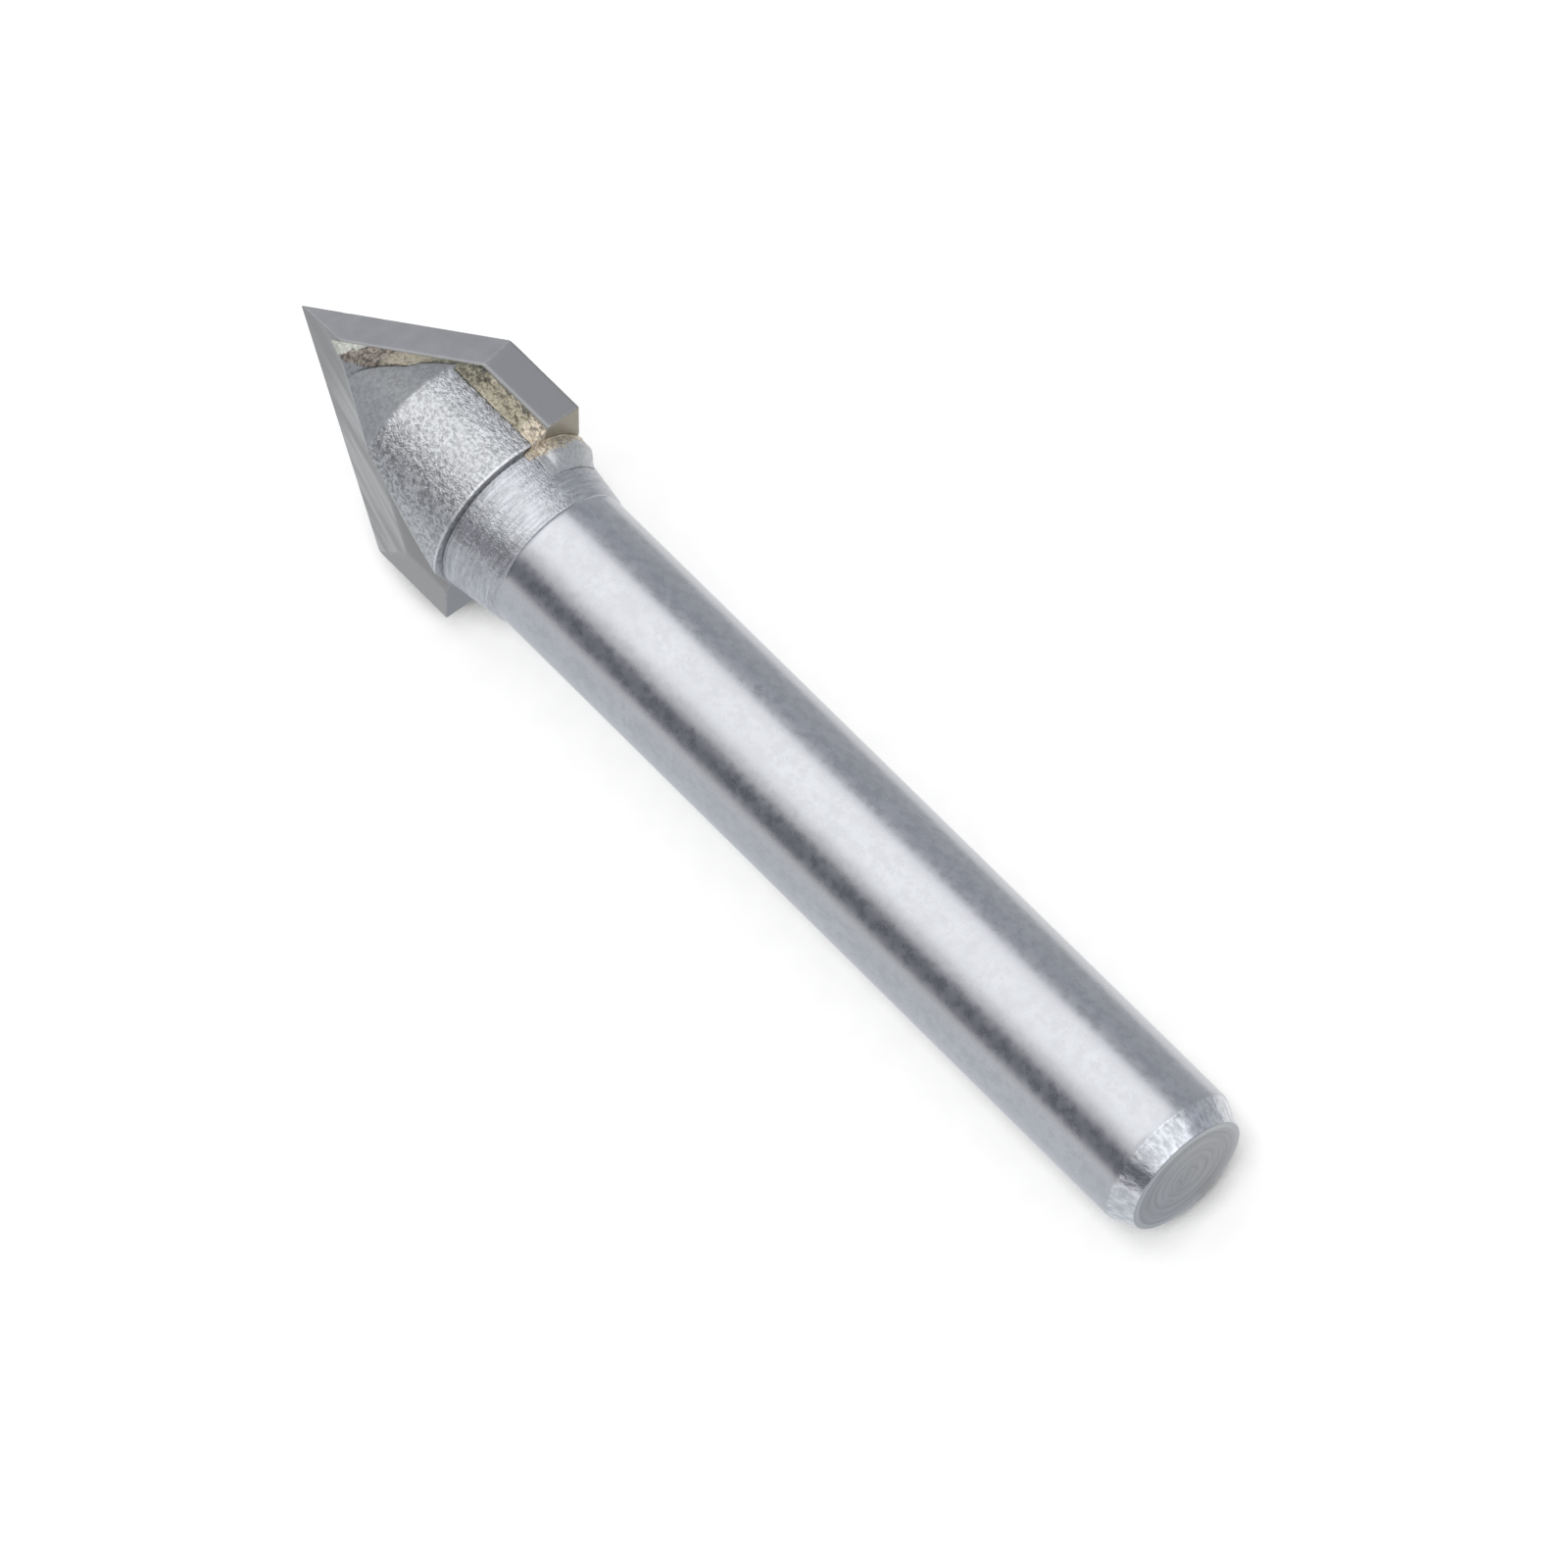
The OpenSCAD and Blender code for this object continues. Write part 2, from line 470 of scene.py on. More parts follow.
def shank_profile():
    """Radius and height of each ring of the shank, its chamfer and its faced end."""
    size = sizes()
    start = chamfer_start()
    bend, drop, rim, middle = 0.24, 0.03, 0.11, 0.1
    mark_depth, mark_width, mark_spacing = 0.016, 0.16, 0.055
    shank = size.shank_radius
    step = size.neck_radius - shank
    rings = [(shank + 0.4 * step, size.neck_end + 0.02), (shank, size.neck_end + 0.07)]
    rings += rows((shank, size.neck_end + 0.15), (shank, start - bend), 0.45)
    for share in np.linspace(0, 1, 6):
        rings.append((shank - drop * share ** 2, start - bend * (1 - share)))
    foot = (shank - drop - 0.01, start + 0.03)
    rings += rows(foot, (size.end_face_radius, TOOL_LENGTH - rim), 0.05)
    rings += quarter_round((size.end_face_radius - rim, TOOL_LENGTH - rim), rim, 5)
    for radius in np.arange(size.end_face_radius - rim - 0.05, middle, -mark_spacing):
        mark = 0.5 + 0.5 * ripple(radius, mark_width, 9.0)
        rings.append((radius, TOOL_LENGTH - mark_depth * mark))
    return rings


def revolved(profile, steps, name):
    """A closed solid of revolution about z, from a profile that starts and ends off the axis."""
    solid = bmesh.new()
    loops = []
    for radius, height in profile:
        loop = []
        for step in range(steps):
            turn = 2 * math.pi * step / steps
            loop.append(solid.verts.new((radius * math.cos(turn), radius * math.sin(turn), height)))
        loops.append(loop)
    for low, high in zip(loops, loops[1:]):
        for step in range(steps):
            after = (step + 1) % steps
            solid.faces.new((low[step], low[after], high[after], high[step]))
    solid.faces.new(list(reversed(loops[0])))
    solid.faces.new(loops[-1])
    return object_from(solid, name)


def blasted(points):
    """How strongly the blasting shows: full on the head, less on the nose and the neck, none on the shank."""
    size, height = sizes(), points[:, 2]
    on_head = smoothstep(nose_end() - 0.12, nose_end() + 0.12, height)
    off_head = smoothstep(size.head_end, size.head_end + 0.06, height)
    return (0.5 + 0.5 * on_head - 0.35 * off_head) * (height < size.neck_end - 0.003)


def grit_pits(points):
    """How deep the grit bit into the head, from 0 to 1."""
    uneven = wavy(points, 0.24, 2) * 0.5 + 0.5
    return 0.45 * pits(points, 0.27) + 0.25 * pits(points, 0.19, 5.0) + 0.3 * uneven


def chamfer_ridges(points):
    """Depth between the ridges that run down the end chamfer, from 0 to 1."""
    ridges_round, along_scale = 11, 1.6
    x, y, height = points.T
    on_chamfer = smoothstep(chamfer_start() + 0.02, chamfer_start() + 0.14, height)
    on_chamfer *= 1 - smoothstep(TOOL_LENGTH - 0.16, TOOL_LENGTH - 0.06, height)
    turn = np.arctan2(y, x)
    places = [np.cos(turn) * ridges_round, np.sin(turn) * ridges_round, height * along_scale]
    return on_chamfer * (0.5 + 0.5 * wavy(np.stack(places, axis=1), 1.0, 2, 4.0))


def build_body():
    size = sizes()
    ridge_depth = 0.012
    body = revolved(head_profile() + shank_profile(), TURN_STEPS, "turned_body")
    points = vertex_vectors(body.data, "co")
    depth = np.zeros(len(points))
    head = points[:, 2] < size.neck_end - 0.02
    depth[head] = looks().blast_depth * grit_pits(points[head]) * blasted(points[head])
    end = points[:, 2] > chamfer_start()
    depth[end] = ridge_depth * chamfer_ridges(points[end])
    set_vertex_places(body.data, points - vertex_vectors(body.data, "normal") * depth[:, None])
    far = 2 * size.cutting_radius
    cut_away(body, block((-far, -size.blade_half, -1), (far, size.blade_half, size.head_end)))
    wall = gash_normal()
    for side in (1, -1):
        clearance = block((-far, min(0, side * far), -1), (far, max(0, side * far), size.head_end))
        halved(clearance, (side * size.gash_offset, 0, 0), (side * wall[0], side * wall[1], wall[2]))
        cut_away(body, clearance)
    store(body.data, "blasted", blasted(vertex_vectors(body.data, "co")))
    set_in_place(body, steel_material(), "steel_body")


# The carbide blade

# Direction across the marks of the grinding wheel, in the tool's axes
WHEEL_ACROSS = (0.889, 0.453, 0.056)
# Places of the blade's faces in the list that blade_planes gives
FACE_ZONES = {
    "flat": (0,),
    "back_face": (1,),
    "land_relief": (3, 7),
    "point_face": (4, 8),
    "land_face": (5, 9),
}


def blade_distance(points):
    return rounded_max(blade_planes(points), looks().edge_wear * 1.3)


def build_blade():
    edge_width, nick_size, nick_depth = 0.03, 0.5, 0.02
    blade = finely_meshed(solid_in_tool_axes("carbide_blade"), "ground_blade", BLADE_VOXEL)
    points = settled(vertex_vectors(blade.data, "co"), blade_distance)
    distances = np.stack(blade_planes(points))
    front = np.argmax(distances, axis=0)
    edge = np.exp(-np.abs(np.sort(distances, axis=0)[-2]) / edge_width)
    nicks = smoothstep(0.45, 0.9, wavy(points, nick_size, 3, 9.0)) * edge
    points = points - outward(blade_distance, points) * (nick_depth * nicks)[:, None]
    set_vertex_places(blade.data, points)
    store(blade.data, "edge", edge)
    for name, faces in FACE_ZONES.items():
        store(blade.data, name, np.isin(front, faces))
    set_in_place(blade, carbide_material(), "carbide_blade")


# The braze

def rounded_off(piece, chosen, passes):
    """Smooths the chosen vertices of a piece."""
    group = piece.vertex_groups.new(name="round")
    group.add([int(index) for index in np.flatnonzero(chosen)], 1.0, "REPLACE")
    smooth = piece.modifiers.new("round", "SMOOTH")
    smooth.factor = 0.5
    smooth.iterations = passes
    smooth.vertex_group = "round"
    apply_modifiers(piece)


def arched(value):
    """1 where the value is 0, falling along a quarter of a circle to a low floor near 1 and past it."""
    return np.clip(1 - value ** 2, 0.02, 1) ** 0.5


def droplet(points):
    """The braze on the neck drawn down to a drop that thins towards its sides and its end."""
    size = sizes()
    middle_bearing, half_sweep, length = -12, 30, 1.32
    x, y, height = points.T
    past, radius = height - size.head_end, np.hypot(x, y)
    neck = size.neck_root_radius - neck_slope() * past
    bearing = np.degrees(np.arctan2(y, x))
    thickness = arched((bearing - middle_bearing) / half_sweep) * arched(past / length)
    share = np.where((past > 0.02) & (radius > neck), thickness, 1.0)
    drawn = np.where(share < 1, (neck + (radius - neck) * share) / np.maximum(radius, 1e-6), 1.0)
    return points * np.stack([drawn, drawn, np.ones(len(points))], axis=1)


def thinned(points):
    """The braze brought down towards the blade's flat where it starts behind the point."""
    least, length, flat = 0.12, 2.2, sizes().blade_half
    x, y, height = points.T
    proud = np.abs(y) - flat
    share = least + (1 - least) * smoothstep(0.0, length, height - height.min())
    across = np.where(proud > 0, flat + proud * share, np.abs(y))
    return np.stack([x, np.sign(y) * across, height], axis=1)


def gash_distance(points):
    """Distance from the wall of the gash on the same side of the blade, in front of it or behind."""
    x, y, height = points.T
    same_side = np.stack([x * np.sign(y), np.abs(y), height], axis=1)
    return np.abs(plane(same_side, gash_normal(), (sizes().gash_offset, 0, 0)))


def build_braze(node, name, seed):
    size = sizes()
    lump_size, free_from, sunk, smoothing_passes = 0.30, 0.08, 0.08, 25
    piece = finely_meshed(solid_in_tool_axes(node), name, BRAZE_VOXEL)
    points = thinned(droplet(vertex_vectors(piece.data, "co")))
    set_vertex_places(piece.data, points)
    on_neck = points[:, 2] > size.head_end + sunk
    if on_neck.any():
        rounded_off(piece, on_neck, smoothing_passes)
    points = vertex_vectors(piece.data, "co")
    lump = 0.65 * wavy(points, lump_size, 3, seed) - 0.35
    clear = np.minimum(np.abs(points[:, 1]) - size.blade_half, blank_distance(points))
    open_side = np.clip(np.minimum(clear, gash_distance(points)) / free_from, 0, 1)
    smooth_runout = 1 - 0.9 * smoothstep(size.head_end + 0.2, size.head_end + 0.5, points[:, 2])
    depth = looks().braze_lumps * np.clip(lump, -0.8, 0.0) * open_side * smooth_runout
    set_vertex_places(piece.data, points + vertex_vectors(piece.data, "normal") * depth[:, None])
    set_in_place(piece, braze_material(), node)


# Shader nodes

def new_material(name):
    """A material, its node tree and its shader."""
    material = bpy.data.materials.new(name)
    material.use_nodes = True
    return material, material.node_tree, material.node_tree.nodes["Principled BSDF"]


def set_inputs(node, inputs):
    """Gives a node's inputs their values, or links them where the value is a socket."""
    for key, value in inputs.items():
        if isinstance(value, bpy.types.NodeSocket):
            value.id_data.links.new(value, node.inputs[key])
        else:
            node.inputs[key].default_value = value


def node_in(tree, kind, inputs, **settings):
    """A node with its settings and inputs."""
    node = tree.nodes.new("ShaderNode" + kind)
    for key, value in settings.items():
        setattr(node, key, value)
    set_inputs(node, inputs)
    return node


def add(kind, inputs, **settings):
    """A node in the tree that its linked inputs come from."""
    tree = next(value.id_data for value in inputs.values() if isinstance(value, bpy.types.NodeSocket))
    return node_in(tree, kind, inputs, **settings)


def maths(operation, *values):
    """The result of a math node."""
    return add("Math", dict(enumerate(values)), operation=operation).outputs[0]


def times(first, second):
    return maths("MULTIPLY", first, second)


def plus(first, second):
    return maths("ADD", first, second)


def minus(first, second):
    return maths("SUBTRACT", first, second)


def ranged(value, low, high, to_low=0.0, to_high=1.0):
    """A value carried from one range to another, and kept within it."""
    inputs = {"Value": value, "From Min": low, "From Max": high, "To Min": to_low, "To Max": to_high}
    return add("MapRange", inputs, interpolation_type="SMOOTHSTEP").outputs[0]


def band(value, start, stop, soft):
    """1 between two values and 0 outside them, with soft ends."""
    rise = ranged(value, start - soft, start + soft)
    fall = ranged(value, stop - soft, stop + soft, 1.0, 0.0)
    return times(rise, fall)


def mixed(share, first, second):
    """A value between two, by a share."""
    return add("Mix", {0: share, 2: first, 3: second}).outputs[0]


def blended(share, first, second):
    """A colour between two, by a share."""
    first, second = [
        colour if isinstance(colour, bpy.types.NodeSocket) else (*colour, 1.0) for colour in (first, second)]
    return add("Mix", {0: share, 6: first, 7: second}, data_type="RGBA").outputs[2]


def shade(colour, share):
    """A darker or lighter tone of a colour."""
    return [share * part for part in colour]


def toned(value, low, high, colour, dark, light):
    """A colour that goes from one tone of itself to another as a value rises."""
    return blended(ranged(value, low, high), shade(colour, dark), shade(colour, light))


def flecked(value, low, high, share, colour, fleck):
    """A colour with flecks of another where a value is high, by a share at most."""
    return blended(ranged(value, low, high, 0.0, share), colour, fleck)


def coated(zone, share, colour, coat):
    """A colour with another laid over it in a zone, by a share."""
    return blended(times(zone, share), colour, coat)


def attribute(tree, name):
    return node_in(tree, "Attribute", {}, attribute_name=name).outputs["Fac"]


def tool_place(tree):
    """The place in the tool's axes, and its parts along x, y and z."""
    place = node_in(tree, "Attribute", {}, attribute_name="tool").outputs["Vector"]
    return place, *add("SeparateXYZ", {0: place}).outputs


def distance_along(vector, direction):
    """How far a place lies along a direction."""
    return add("VectorMath", {0: vector, 1: direction}, operation="DOT_PRODUCT").outputs["Value"]


def noise_of(vector, scale, detail, roughness):
    inputs = {"Vector": vector, "Scale": scale, "Detail": detail, "Roughness": roughness}
    return add("TexNoise", inputs).outputs["Fac"]


def streaks(ways, detail, roughness):
    """Noise with a scale of its own along each of two or three ways, given as pairs of value and scale."""
    scaled = {index: times(value, scale) for index, (value, scale) in enumerate(ways)}
    return noise_of(add("CombineXYZ", scaled).outputs[0], 1.0, detail, roughness)


def finish(shader, metallic, colour, roughness, relief, strength, depth):
    """Sets a shader's inputs; the relief's depth is in millimetres."""
    bump = add("Bump", {"Height": relief, "Strength": strength, "Distance": depth * MM}).outputs[0]
    set_inputs(shader, {"Metallic": metallic, "Base Color": colour, "Roughness": roughness, "Normal": bump})


# Finishes, with some painted shade and painted highlights

BLASTED_FLECK = (0.78, 0.79, 0.80)
NECK_FLECK = (0.74, 0.75, 0.76)
# Painted highlight on the back rim of the head
RIM_HIGHLIGHT = (0.80, 0.81, 0.82)
# Painted highlight along the gashes' edges, also laid over their ground walls
GASH_HIGHLIGHT = (0.56, 0.56, 0.55)
# Painted highlight along the blade's edges
EDGE_HIGHLIGHT = (0.60, 0.61, 0.62)
GOLD_FLECK = (0.74, 0.71, 0.60)
TINTED_BRAZE = (0.74, 0.66, 0.53)
RUNOUT_DARK = (0.46, 0.47, 0.48)
RUNOUT_LIGHT = (0.56, 0.57, 0.58)


def gash_nearness(x, y, height):
    """1 on the ground walls of both gashes and on the rims beside them, 0 away from them."""
    wall = gash_normal()
    parts = {0: times(x, maths("SIGN", y)), 1: maths("ABSOLUTE", y), 2: height}
    same_side = add("CombineXYZ", parts).outputs[0]
    depth = minus(distance_along(same_side, wall), sizes().gash_offset * wall[0])
    return ranged(maths("ABSOLUTE", depth), 0.02, 0.07, 1.0, 0.0)


def steel_grains(place, turn, radius, height):
    """The noises that the body's finishes share."""
    return SimpleNamespace(
        grain=noise_of(place, 6.0, 2.0, 0.6),
        speckle=noise_of(place, 12.0, 3.0, 0.7),
        blotches=noise_of(place, 2.4, 4.0, 0.62),
        clouds=noise_of(place, 0.6, 3.0, 0.5),
        scratches=streaks(((turn, 3.0), (height, 9.0), (radius, 2.0)), 4.0, 0.75),
        ridges=streaks(((turn, 13.0), (height, 2.2)), 3.0, 0.7),
        rings=streaks(((radius, 5.0), (turn, 0.35)), 3.0, 0.6))


def steel_zones(tree, near_gash, radius, height):
    """Where each of the body's finishes, and its painted shade and painted highlights, shows, as shares from
    0 to 1.
    """
    size = sizes()
    nose, head, face_edge = nose_end(), size.head_end, size.end_face_radius
    return SimpleNamespace(
        blast=attribute(tree, "blasted"),
        head=band(height, nose - 0.05, head + 0.02, 0.1),
        nose=ranged(height, nose - 0.12, nose + 0.05, 1.0, 0.0),
        neck=band(height, head + 0.03, size.neck_end - 0.01, 0.02),
        # Painted shade: a dark band over the back of the head and the neck's root, where the step lies in
        # shadow
        collar_shade=band(height, head - 0.01, head + 0.05, 0.02),
        # Painted highlight: a bright band just in front of the head's back edge
        rim_highlight=band(height, head - 0.13, head - 0.03, 0.02),
        # Painted highlight: lighter along the gash edges and walls, fading out towards the back of the head
        gash_highlight=times(near_gash, ranged(height, head - 1.05, head - 0.05, 1.0, 0.0)),
        end=ranged(height, chamfer_start() - 0.03, chamfer_start() + 0.05),
        face=ranged(height, TOOL_LENGTH - 0.05, TOOL_LENGTH - 0.03),
        face_rim=ranged(radius, face_edge - 0.3, face_edge - 0.24))


def steel_colour(grains, zones):
    """The colour of each zone of the body, laid one over the other."""
    look = looks()
    steel = look.steel_colour
    shank = toned(grains.blotches, 0.36, 0.64, steel, 0.92, 1.06)
    shank = flecked(grains.clouds, 0.3, 0.7, 0.35, shank, shade(steel, 0.9))
    shank = flecked(grains.speckle, 0.66, 0.74, 0.5, shank, shade(steel, 1.5))
    head = toned(grains.grain, 0.32, 0.66, look.blasted_colour, 0.66, 1.16)
    head = flecked(grains.speckle, 0.55, 0.75, 0.5, head, BLASTED_FLECK)
    # Darker nose: partly painted shade, partly its ground finish
    nose = toned(grains.grain, 0.3, 0.7, look.nose_colour, 0.85, 1.2)
    nose = flecked(grains.blotches, 0.5, 0.7, 0.6, nose, shade(look.nose_colour, 0.72))
    neck = toned(grains.scratches, 0.3, 0.7, steel, 0.74, 1.18)
    neck = flecked(grains.speckle, 0.55, 0.75, 0.5, neck, NECK_FLECK)
    chamfer = toned(grains.ridges, 0.35, 0.65, steel, 0.95, 1.4)
    # Darker end face: partly painted shade, partly its turned finish
    face = toned(grains.rings, 0.35, 0.65, look.end_colour, 0.85, 1.12)
    face = coated(zones.face_rim, 0.8, face, shade(look.end_colour, 1.4))
    colour = blended(zones.head, shank, head)
    colour = blended(zones.nose, colour, nose)
    colour = blended(zones.neck, colour, neck)
    # Painted shade on the step between the head and the neck
    colour = coated(zones.collar_shade, 0.65, colour, shade(steel, 0.4))
    # Painted highlight on the head's back rim
    colour = coated(zones.rim_highlight, 0.6, colour, RIM_HIGHLIGHT)
    colour = blended(zones.end, colour, chamfer)
    colour = blended(zones.face, colour, face)
    # Painted highlight along the gash edges
    return coated(zones.gash_highlight, 0.75, colour, GASH_HIGHLIGHT)


def steel_roughness(grains, zones):
    satin = ranged(grains.blotches, 0.3, 0.7, 0.25, 0.33)
    matt = ranged(grains.grain, 0.3, 0.7, 0.30, 0.42)
    rough = mixed(ranged(zones.blast, 0.0, 0.4), satin, matt)
    rough = mixed(zones.end, rough, 0.25)
    return mixed(zones.face, rough, 0.36)


def steel_relief(grains, zones):
    """Grit pits, turned scratches and ridges, and the fine waves of the ground shank."""
    pits_and_grain = plus(times(grains.grain, 0.85), times(grains.speckle, 0.35))
    pitting = times(zones.blast, pits_and_grain)
    marks = plus(times(grains.scratches, times(zones.neck, 0.4)),
                 times(grains.ridges, times(zones.end, 0.3)))
    fine = plus(times(grains.blotches, 0.06), times(grains.speckle, 0.008))
    return plus(plus(pitting, marks), fine)


def steel_material():
    """Ground shank, scratched neck, blasted head, ground nose and gashes, and faced end."""
    material, tree, shader = new_material("turned_and_blasted_steel")
    place, x, y, height = tool_place(tree)
    turn = maths("ARCTAN2", y, x)
    radius = maths("SQRT", plus(times(x, x), times(y, y)))
    grains = steel_grains(place, turn, radius, height)
    zones = steel_zones(tree, gash_nearness(x, y, height), radius, height)
    colour, relief = steel_colour(grains, zones), steel_relief(grains, zones)
    finish(shader, 1.0, colour, steel_roughness(grains, zones), relief, strength=0.8, depth=0.06)
    return material


def carbide_material():
    """Grey carbide with the marks of the grinding wheel on the faces in front of its edges."""
    look = looks()
    carbide, ground = look.carbide_colour, look.ground_colour
    material, tree, shader = new_material("ground_carbide")
    place, x, _, height = tool_place(tree)
    point_face, back_face, flat = [attribute(tree, name) for name in ("point_face", "back_face", "flat")]
    across = distance_along(place, WHEEL_ACROSS)
    broad = streaks(((across, 2.2), (height, 0.12)), 2.0, 0.5)
    marks = streaks(((across, 9.0), (height, 0.3)), 3.0, 0.7)
    clouds = noise_of(place, 1.1, 3.0, 0.5)
    grain = noise_of(place, 14.0, 3.0, 0.6)
    grey = toned(clouds, 0.3, 0.7, carbide, 0.95, 1.05)
    # Painted shade: the relief faces behind the straight edges darker, for the darker surroundings they
    # mirror
    grey = blended(attribute(tree, "land_relief"), grey, shade(carbide, 0.7))
    # Painted shade: the back faces, towards the shank, a little darker
    grey = blended(back_face, grey, shade(carbide, 0.8))
    lined = toned(broad, 0.35, 0.65, ground, 0.78, 1.16)
    lined = flecked(marks, 0.55, 0.75, 0.4, lined, shade(ground, 1.3))
    near_point = ranged(height, 2.0, 5.0, 0.75, 0.0)
    lined = blended(near_point, lined, shade(ground, 0.66))
    colour = blended(point_face, grey, lined)
    colour = blended(attribute(tree, "land_face"), colour, shade(ground, 0.8))
    colour = blended(flat, colour, ground)
    stain = times(back_face, ranged(x, 1.5, 2.5))
    stain = times(stain, ranged(grain, 0.25, 0.55, 0.35, 1.0))
    colour = blended(stain, colour, shade(look.braze_gold_colour, 0.7))
    # Painted highlight: lighter along the blade's edges
    colour = coated(attribute(tree, "edge"), 0.22, colour, EDGE_HIGHLIGHT)
    rough = mixed(flat, ranged(grain, 0.3, 0.7, 0.36, 0.46), 0.62)
    relief = plus(times(point_face, plus(marks, broad)), times(grain, 0.25))
    finish(shader, 0.75, colour, rough, relief, strength=0.35, depth=0.02)
    return material


def braze_tones(speckle, fine):
    """The colours that the braze set in, each with its own speckle."""
    look = looks()
    gold, brown = look.braze_gold_colour, look.braze_brown_colour
    clean = blended(ranged(speckle, 0.36, 0.56), shade(gold, 0.64), gold)
    return SimpleNamespace(
        gold=flecked(fine, 0.58, 0.72, 1.0, clean, GOLD_FLECK),
        burnt=toned(speckle, 0.4, 0.62, brown, 0.55, 1.7),
        flux=toned(speckle, 0.4, 0.6, look.flux_colour, 0.85, 1.12),
        olive=toned(speckle, 0.42, 0.6, look.braze_olive_colour, 0.6, 1.5),
        tinted=blended(ranged(speckle, 0.36, 0.58), shade(brown, 1.9), TINTED_BRAZE),
        bare=toned(speckle, 0.3, 0.6, look.nose_colour, 0.8, 1.1),
        runout=blended(ranged(speckle, 0.35, 0.65), RUNOUT_DARK, RUNOUT_LIGHT))


def braze_material():
    """Braze that set in lumps: pale flux and burnt metal at the point, gold along the straight edge."""
    size = sizes()
    corner, head = size.point_length, size.head_end
    material, tree, shader = new_material("set_braze")
    place, x, _, true_height = tool_place(tree)
    speckle = noise_of(place, 6.5, 3.0, 0.65)
    fine = noise_of(place, 15.0, 3.0, 0.7)
    drift = minus(noise_of(place, 2.2, 2.0, 0.5), 0.5)
    height = plus(true_height, drift)
    slanted = times(true_height, math.tan(point_angle()))
    from_edge = minus(slanted, maths("ABSOLUTE", x))
    tones = braze_tones(speckle, fine)
    colour = blended(band(height, corner - 5.6, corner - 3.1, 0.12), tones.gold, tones.burnt)
    flake = plus(height, times(from_edge, 1.4))
    colour = blended(ranged(flake, corner - 2.85, corner - 2.7, 1.0, 0.0), colour, tones.flux)
    colour = blended(band(height, corner - 1.8, corner + 0.7, 0.3), colour, tones.olive)
    film = plus(from_edge, times(drift, 0.35))
    film = times(ranged(film, slant_inset() + 0.72, slant_inset() + 0.92),
                 ranged(true_height, corner - 2.0, corner - 1.5, 1.0, 0.0))
    colour = blended(film, colour, tones.bare)
    colour = blended(band(height, head - 0.75, head + 0.5, 0.15), colour, tones.tinted)
    runout = ranged(height, head + 0.35, head + 0.6)
    colour = blended(runout, colour, tones.runout)
    calm = minus(1.0, times(runout, 0.75))
    relief = times(plus(speckle, times(fine, 0.4)), calm)
    rough = ranged(fine, 0.3, 0.7, 0.28, 0.5)
    finish(shader, 0.8, colour, rough, relief, strength=0.8, depth=0.07)
    return material


# The stage

# Distance of the cards and length of the cards and mats, and the mats' height over the floor, in metres
CARD_DISTANCE = 0.25
CARD_LENGTH = 1.2
MAT_HEIGHT = 0.0001
# Where the lamp and the cards face, on the tool's axis
LIT_PLACE = PLACE @ Vector((0, 0, 20))


def view_axes():
    """Rotation whose columns are the camera's right, up and back directions, in the tool's axes."""
    view = bpy.context.scene.end_mill_view
    lift, bearing, turn = view.lift, view.bearing, view.blade_turn
    axis = Vector((math.cos(lift) * math.cos(bearing), math.cos(lift) * math.sin(bearing), math.sin(lift)))
    side = Vector((-math.sin(bearing), math.cos(bearing), 0))
    over = axis.cross(side)
    width = math.cos(turn) * side + math.sin(turn) * over
    thickness = math.cos(turn) * over - math.sin(turn) * side
    return Matrix((width, thickness, axis))


def camera_rotation():
    """The camera's axes in the row frame."""
    return AXES @ view_axes()


def build_camera():
    view = bpy.context.scene.end_mill_view
    axes = camera_rotation()
    middle = view.image_side / 2
    offset = Vector(((middle - view.reference_column) / view.pixels_per_mm,
                     (view.reference_row - middle) / view.pixels_per_mm, view.distance))
    reference = PLACE @ Vector((0, 0, view.reference_height))
    data = bpy.data.cameras.new("camera")
    data.sensor_width = 36.0
    data.lens = view.pixels_per_mm * view.distance / view.image_side * data.sensor_width
    data.clip_start, data.clip_end = 0.01, 20
    camera = new_object("camera", data)
    camera.matrix_world = Matrix.Translation(reference + axes @ offset * MM) @ axes.to_4x4()
    bpy.context.scene.camera = camera


def build_key_light():
    """A soft lamp that looks at the tool from over the camera's left shoulder."""
    direction, distance = Vector((-0.29, 0.69, 0.69)), 0.6
    data = bpy.data.lights.new("key", "AREA")
    data.size = 0.66
    data.energy = 0.85
    lamp = new_object("key", data)
    away = (camera_rotation() @ direction).normalized()
    lamp.location = LIT_PLACE + away * distance
    lamp.rotation_mode = "QUATERNION"
    lamp.rotation_quaternion = away.to_track_quat("Z", "Y")


def sheet_object(name, segments, half):
    """A flat square sheet with half its side given, in metres."""
    sheet = bmesh.new()
    bmesh.ops.create_grid(sheet, x_segments=segments, y_segments=segments, size=half)
    return object_from(sheet, name)


def object_place(tree):
    return node_in(tree, "TexCoord", {}).outputs["Object"]


def seen_rays(tree):
    """1 for the rays that see the backdrop directly or in a gloss, and 0 for those that light the tool."""
    rays = node_in(tree, "LightPath", {}).outputs
    glossy = maths("MAXIMUM", rays["Is Glossy Ray"], rays["Is Transmission Ray"])
    return maths("MAXIMUM", rays["Is Camera Ray"], glossy)


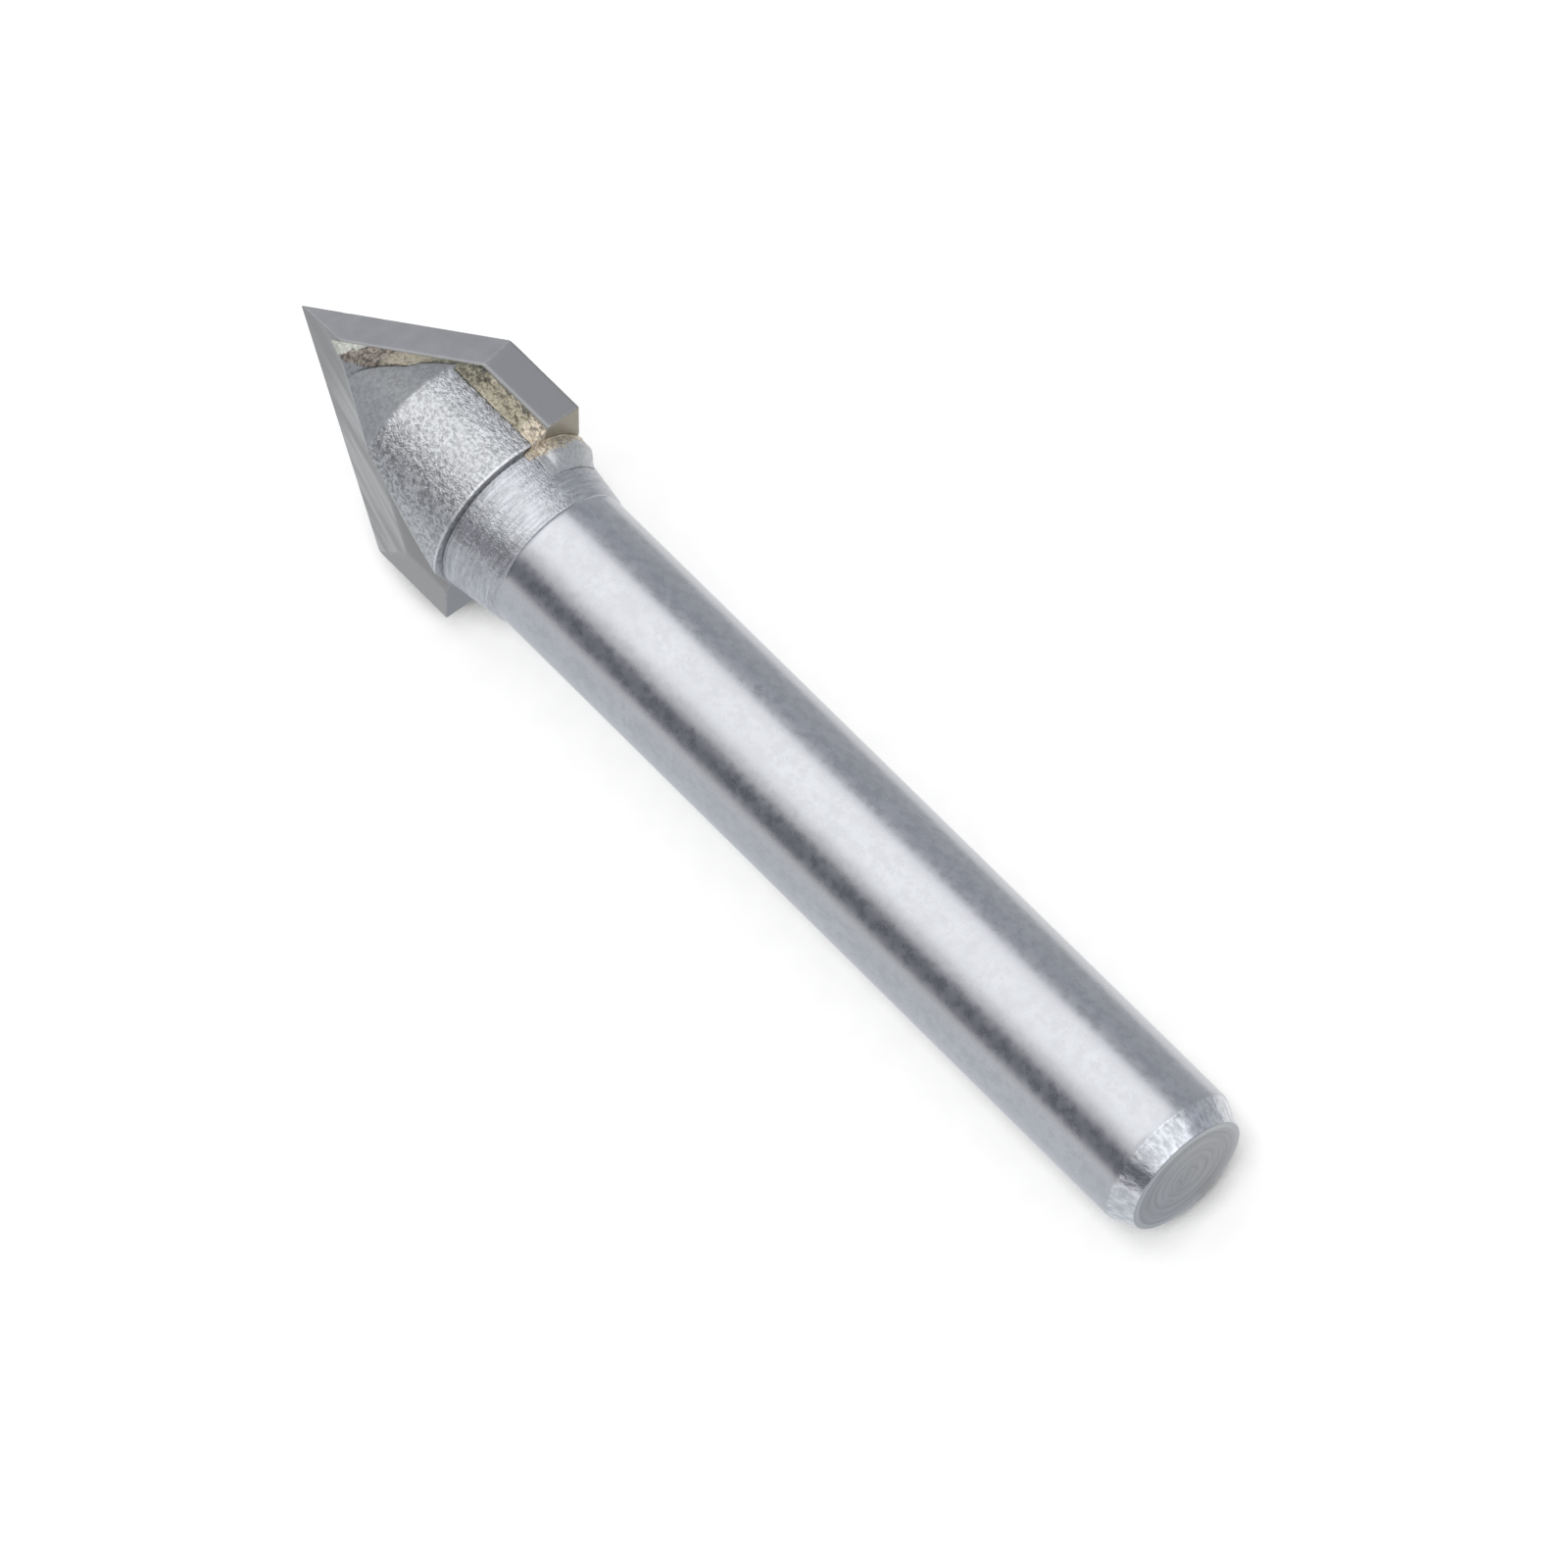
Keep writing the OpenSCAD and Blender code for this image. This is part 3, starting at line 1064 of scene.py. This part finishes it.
def paper_material():
    """White paper that lights the tool as paper does and is seen as white, with the tool's shadow on it."""
    shadow_reach, shadow_samples = 2 * MM, 4
    lit_grey, glow = (0.56, 0.56, 0.56), 0.62
    material, tree, shader = new_material("white_paper")
    grain = noise_of(object_place(tree), 900.0, 2.0, 0.5)
    paper = blended(ranged(grain, 0.3, 0.7), (0.97, 0.97, 0.97), (1.0, 1.0, 1.0))
    set_inputs(shader, {"Base Color": paper, "Roughness": 0.9, "Specular IOR Level": 0.0})
    occlusion = node_in(tree, "AmbientOcclusion", {"Distance": shadow_reach}, samples=shadow_samples)
    clear = ranged(occlusion.outputs["AO"], 0.2, 0.7)
    grey = blended(clear, (0.0, 0.0, 0.0), lit_grey)
    shaded = add("BsdfDiffuse", {"Color": grey}).outputs[0]
    white = add("Emission", {"Color": paper, "Strength": times(clear, glow)}).outputs[0]
    backdrop = add("AddShader", {0: shaded, 1: white}).outputs[0]
    surface = add("MixShader", {0: seen_rays(tree), 1: shader.outputs[0], 2: backdrop}).outputs[0]
    set_inputs(tree.nodes["Material Output"], {"Surface": surface})
    return material


def build_floor():
    floor = sheet_object("floor", 8, 1.5)
    floor.data.materials.append(paper_material())


def build_world():
    """White where it is seen, and greyer where it lights the tool."""
    world = bpy.data.worlds.new("studio")
    world.use_nodes = True
    tree = world.node_tree
    strength = mixed(seen_rays(tree), 0.72, 1.0)
    set_inputs(tree.nodes["Background"], {"Color": (1, 1, 1, 1), "Strength": strength})
    bpy.context.scene.world = world


def card_object(name, grey, blue=1.0):
    """A card of one metre square, grey or slightly blue, seen only in the gloss of the tool."""
    card = sheet_object(name, 4, 0.5)
    material, tree, shader = new_material(name)
    tree.nodes.remove(shader)
    mottle = noise_of(object_place(tree), 3.0, 2.0, 0.5)
    dark, light = (0.94, 0.97, blue), (1.0, 1.03, 1.08 * blue)
    tone = blended(mottle, shade(dark, grey), shade(light, grey))
    set_inputs(tree.nodes["Material Output"], {"Surface": add("Emission", {"Color": tone}).outputs[0]})
    card.data.materials.append(material)
    card.visible_camera = False
    card.visible_diffuse = False
    card.visible_shadow = False
    return card


def build_card(name, bearing, span, grey, blue=1.0, lift=0.0, length=CARD_LENGTH):
    """A card beside the tool whose reflection draws a band on it.

    Its bearing is its angle round the tool's axis, from the blade's width, its span the angle it covers, and
    its lift the angle by which it stands towards the shank's end, all in degrees.
    """
    width = 2 * CARD_DISTANCE * math.tan(math.radians(span / 2))
    turn, rise = math.radians(bearing), math.radians(lift)
    out = AXES @ Vector((math.cos(turn), math.sin(turn), 0))
    side = AXES @ Vector((-math.sin(turn), math.cos(turn), 0))
    shank = AXES @ Vector((0, 0, 1))
    away = out * math.cos(rise) + shank * math.sin(rise)
    over = shank * math.cos(rise) - out * math.sin(rise)
    place = Matrix((side * width, over * length, away)).transposed().to_4x4()
    card = card_object(name, grey, blue)
    card.matrix_world = Matrix.Translation(LIT_PLACE + away * CARD_DISTANCE) @ place


def build_mat(name, near, far, grey):
    """A mat on the floor along the tool, between two distances across it, for the shank's lower side."""
    mat = card_object(name, grey)
    middle = Matrix.Translation((0, (near + far) / 2, MAT_HEIGHT))
    mat.matrix_world = middle @ Matrix.Diagonal((CARD_LENGTH, far - near, 1, 1))


def build_stage():
    bpy.context.scene.view_settings.view_transform = "Standard"
    build_floor()
    build_world()
    build_card("dark_card", bearing=114.5, span=37.0, grey=0.165, blue=1.14)
    build_card("grey_card", bearing=-21.0, span=56.0, grey=0.50, blue=1.06)
    build_card("bright_card", bearing=42.0, span=76.0, grey=1.5, lift=23.7, length=0.1)
    build_mat("left_mat", near=-0.3, far=0.0, grey=0.84)
    build_mat("right_mat", near=0.009, far=0.3, grey=0.58)
    build_key_light()


# Operators, one for each piece and one for the stage

class ENDMILL_OT_body(bpy.types.Operator):
    """Builds the turned, slotted and blasted steel body"""
    bl_idname = "end_mill.body"
    bl_label = "Steel body"

    def execute(self, context):
        build_body()
        return {"FINISHED"}


class ENDMILL_OT_blade(bpy.types.Operator):
    """Builds the ground carbide blade"""
    bl_idname = "end_mill.blade"
    bl_label = "Carbide blade"

    def execute(self, context):
        build_blade()
        return {"FINISHED"}


class ENDMILL_OT_braze(bpy.types.Operator):
    """Builds the set braze along both seams"""
    bl_idname = "end_mill.braze"
    bl_label = "Braze"

    def execute(self, context):
        build_braze("braze_seam_near", "near_braze", 1.0)
        build_braze("braze_seam_far", "far_braze", 6.0)
        return {"FINISHED"}


class ENDMILL_OT_stage(bpy.types.Operator):
    """Builds the floor, the light and the camera"""
    bl_idname = "end_mill.stage"
    bl_label = "Stage"

    def execute(self, context):
        build_camera()
        build_stage()
        return {"FINISHED"}


class ENDMILL_PT_panel(bpy.types.Panel):
    """Lists the pieces of the end mill"""
    bl_label = "End mill"
    bl_space_type = "VIEW_3D"
    bl_region_type = "UI"
    bl_category = "End mill"

    def draw(self, context):
        for operator in OPERATORS:
            self.layout.operator(operator.bl_idname)
        for group in (getattr(context.scene, name) for name in GROUPS):
            box = self.layout.box()
            for name in group.bl_rna.properties.keys():
                if name not in ("rna_type", "name"):
                    box.prop(group, name)


OPERATORS = (ENDMILL_OT_stage, ENDMILL_OT_body, ENDMILL_OT_blade, ENDMILL_OT_braze)
GROUPS = {"end_mill_sizes": EndMillSizes, "end_mill_looks": EndMillLooks, "end_mill_view": EndMillView}


def register():
    for kind in (*GROUPS.values(), *OPERATORS, ENDMILL_PT_panel):
        bpy.utils.register_class(kind)
    for name, group in GROUPS.items():
        setattr(bpy.types.Scene, name, PointerProperty(type=group))


def unregister():
    for name in GROUPS:
        delattr(bpy.types.Scene, name)
    for kind in (ENDMILL_PT_panel, *reversed(OPERATORS), *reversed(GROUPS.values())):
        bpy.utils.unregister_class(kind)


def main():
    register()
    bpy.ops.end_mill.stage()
    bpy.ops.end_mill.body()
    bpy.ops.end_mill.blade()
    bpy.ops.end_mill.braze()


if __name__ == "__main__":
    main()
